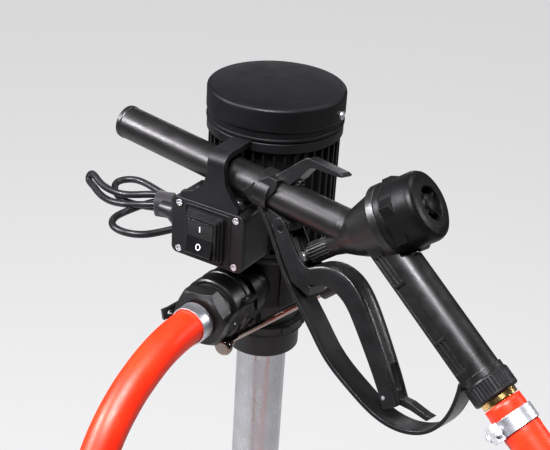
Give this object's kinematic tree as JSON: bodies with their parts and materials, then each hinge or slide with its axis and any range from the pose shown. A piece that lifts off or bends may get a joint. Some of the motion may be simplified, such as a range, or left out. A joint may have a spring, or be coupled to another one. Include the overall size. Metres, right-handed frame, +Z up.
{
  "type": "drum barrel pump",
  "caption": "Electric drum barrel pump with finned motor, suction tube, side outlet hose and a hand nozzle hung in a bracket.",
  "frame": {"origin": "motor and suction tube axis, at the plane of the drum head (underside of the bung gasket)", "axes": "+Z up along the motor axis, -Y the way the switch face and the outlet point, +X to the right seen from the front"},
  "size_m": [0.6968, 0.4526, 1.112],
  "materials": {
    "cowl_black": "satin powder coat",
    "housing_black": "satin powder coat",
    "cast_black": "matt",
    "box_plastic": "matt",
    "nozzle_plastic": "fine texture",
    "rocker_plastic": "gloss",
    "cable_rubber": "matt",
    "seal_rubber": "matt",
    "hose_red": "smooth PVC",
    "zinc_steel": "zinc plated",
    "chrome_steel": "polished",
    "tube_aluminium": "drawn",
    "laminations": "stacked sheet",
    "copper_wire": "enamelled",
    "brass_parts": "machined",
    "fan_plastic": "moulded",
    "capacitor_case": "moulded",
    "bush_plastic": "moulded"
  },
  "bodies": {
    "pump": {"box_screws": "zinc_steel", "bung_adapter": "nozzle_plastic", "bung_gasket": "seal_rubber", "cable_gland": "cable_rubber", "cam_pins": "zinc_steel", "camlock_coupler": "nozzle_plastic", "coupler_gasket": "seal_rubber", "delivery_hose": "hose_red", "fan_cowl": "cowl_black", "foot_strainer": "nozzle_plastic", "hose_clamp": "zinc_steel", "lower_bearing": "zinc_steel", "lower_end_shield": "cast_black", "mains_plug": "cable_rubber", "motor_housing": "housing_black", "motor_screws": "zinc_steel", "nozzle_bracket": "cast_black", "outlet_adapter": "nozzle_plastic", "plug_pins": "brass_parts", "power_cable": "cable_rubber", "pump_head": "cast_black", "rocker_bezel": "box_plastic", "run_capacitor": "capacitor_case", "shaft_bushes": "bush_plastic", "shaft_seal": "seal_rubber", "stator_core": "laminations", "stator_windings": "copper_wire", "suction_tube": "tube_aluminium", "switch_box": "box_plastic", "switch_cover": "box_plastic", "switch_gasket": "seal_rubber", "upper_bearing": "zinc_steel", "upper_end_shield": "cast_black"},
    "rotor": {"cooling_fan": "fan_plastic", "rotor_core": "laminations", "motor_shaft": "zinc_steel", "shaft_coupling": "brass_parts", "drive_shaft": "zinc_steel", "impeller": "bush_plastic"},
    "rocker": {"rocker_button": "rocker_plastic"},
    "clamp_handle": {"clamp_screw": "chrome_steel", "clamp_bar": "chrome_steel", "clamp_bar_grip": "nozzle_plastic"},
    "cam_right": {"cam_arm_right": "nozzle_plastic"},
    "cam_left": {"cam_arm_left": "nozzle_plastic"},
    "nozzle": {"nozzle_body": "nozzle_plastic", "spout_tube": "nozzle_plastic", "trigger_guard": "nozzle_plastic", "guard_screw": "zinc_steel", "valve_bonnet": "nozzle_plastic", "valve_spring": "zinc_steel", "trigger_pin": "zinc_steel", "swivel_ring": "zinc_steel"},
    "trigger": {"trigger_lever": "nozzle_plastic", "latch_pin": "zinc_steel"},
    "valve": {"valve_stem": "zinc_steel", "valve_poppet": "brass_parts"},
    "latch": {"hold_open_latch": "nozzle_plastic"},
    "hose_swivel": {"hose_tail": "brass_parts", "tail_clamp": "zinc_steel"}
  },
  "joints": [
    {"name": "rotor_spin", "type": "hinge", "parent": "pump", "child": "rotor", "pos_m": [0, 0, 0.126], "axis": [0, 0, 1], "continuous": true},
    {"name": "rocker_tilt", "type": "hinge", "parent": "pump", "child": "rocker", "pos_m": [-0.0009, -0.0905, 0.1131], "axis": [1, 0, 0], "range_deg": [0, 14]},
    {"name": "clamp_turn", "type": "hinge", "parent": "pump", "child": "clamp_handle", "pos_m": [0.01115, -0.06971, 0.016], "axis": [0.158, -0.9874, 0], "range_deg": [-38, 0]},
    {"name": "cam_right_open", "type": "hinge", "parent": "pump", "child": "cam_right", "pos_m": [0.02543, -0.066, 0.05041], "axis": [-0.2079, 0, 0.9781], "range_deg": [0, 75]},
    {"name": "cam_left_open", "type": "hinge", "parent": "pump", "child": "cam_left", "pos_m": [-0.02543, -0.066, 0.03959], "axis": [0.2079, 0, -0.9781], "range_deg": [0, 75]},
    {"name": "nozzle_unhook", "type": "slide", "parent": "pump", "child": "nozzle", "axis": [0.9926, -0.0826, -0.0887], "range_m": [0, 0.135], "deforming": ["delivery_hose"]},
    {"name": "trigger_pull", "type": "hinge", "parent": "nozzle", "child": "trigger", "pos_m": [0.06253, -0.07751, 0.13654], "axis": [-0.0586, -0.9677, 0.2454], "range_deg": [0, 4]},
    {"name": "valve_lift", "type": "slide", "parent": "nozzle", "child": "valve", "axis": [0.7941, 0.1037, 0.5989], "range_m": [0, 0.00188], "deforming": ["valve_spring"]},
    {"name": "latch_swing", "type": "hinge", "parent": "trigger", "child": "latch", "pos_m": [0.16702, -0.10524, 0.05215], "axis": [-0.0586, -0.9677, 0.2454], "range_deg": [0, 40]},
    {"name": "hose_swivel_turn", "type": "hinge", "parent": "nozzle", "child": "hose_swivel", "pos_m": [0.22787, -0.09952, 0.08926], "axis": [0.8035, -0.1916, -0.5636], "continuous": true}
  ],
  "couplings": [
    {"joint": "valve_lift", "follows": "trigger_pull", "m_per_rad": 0.026}
  ]
}
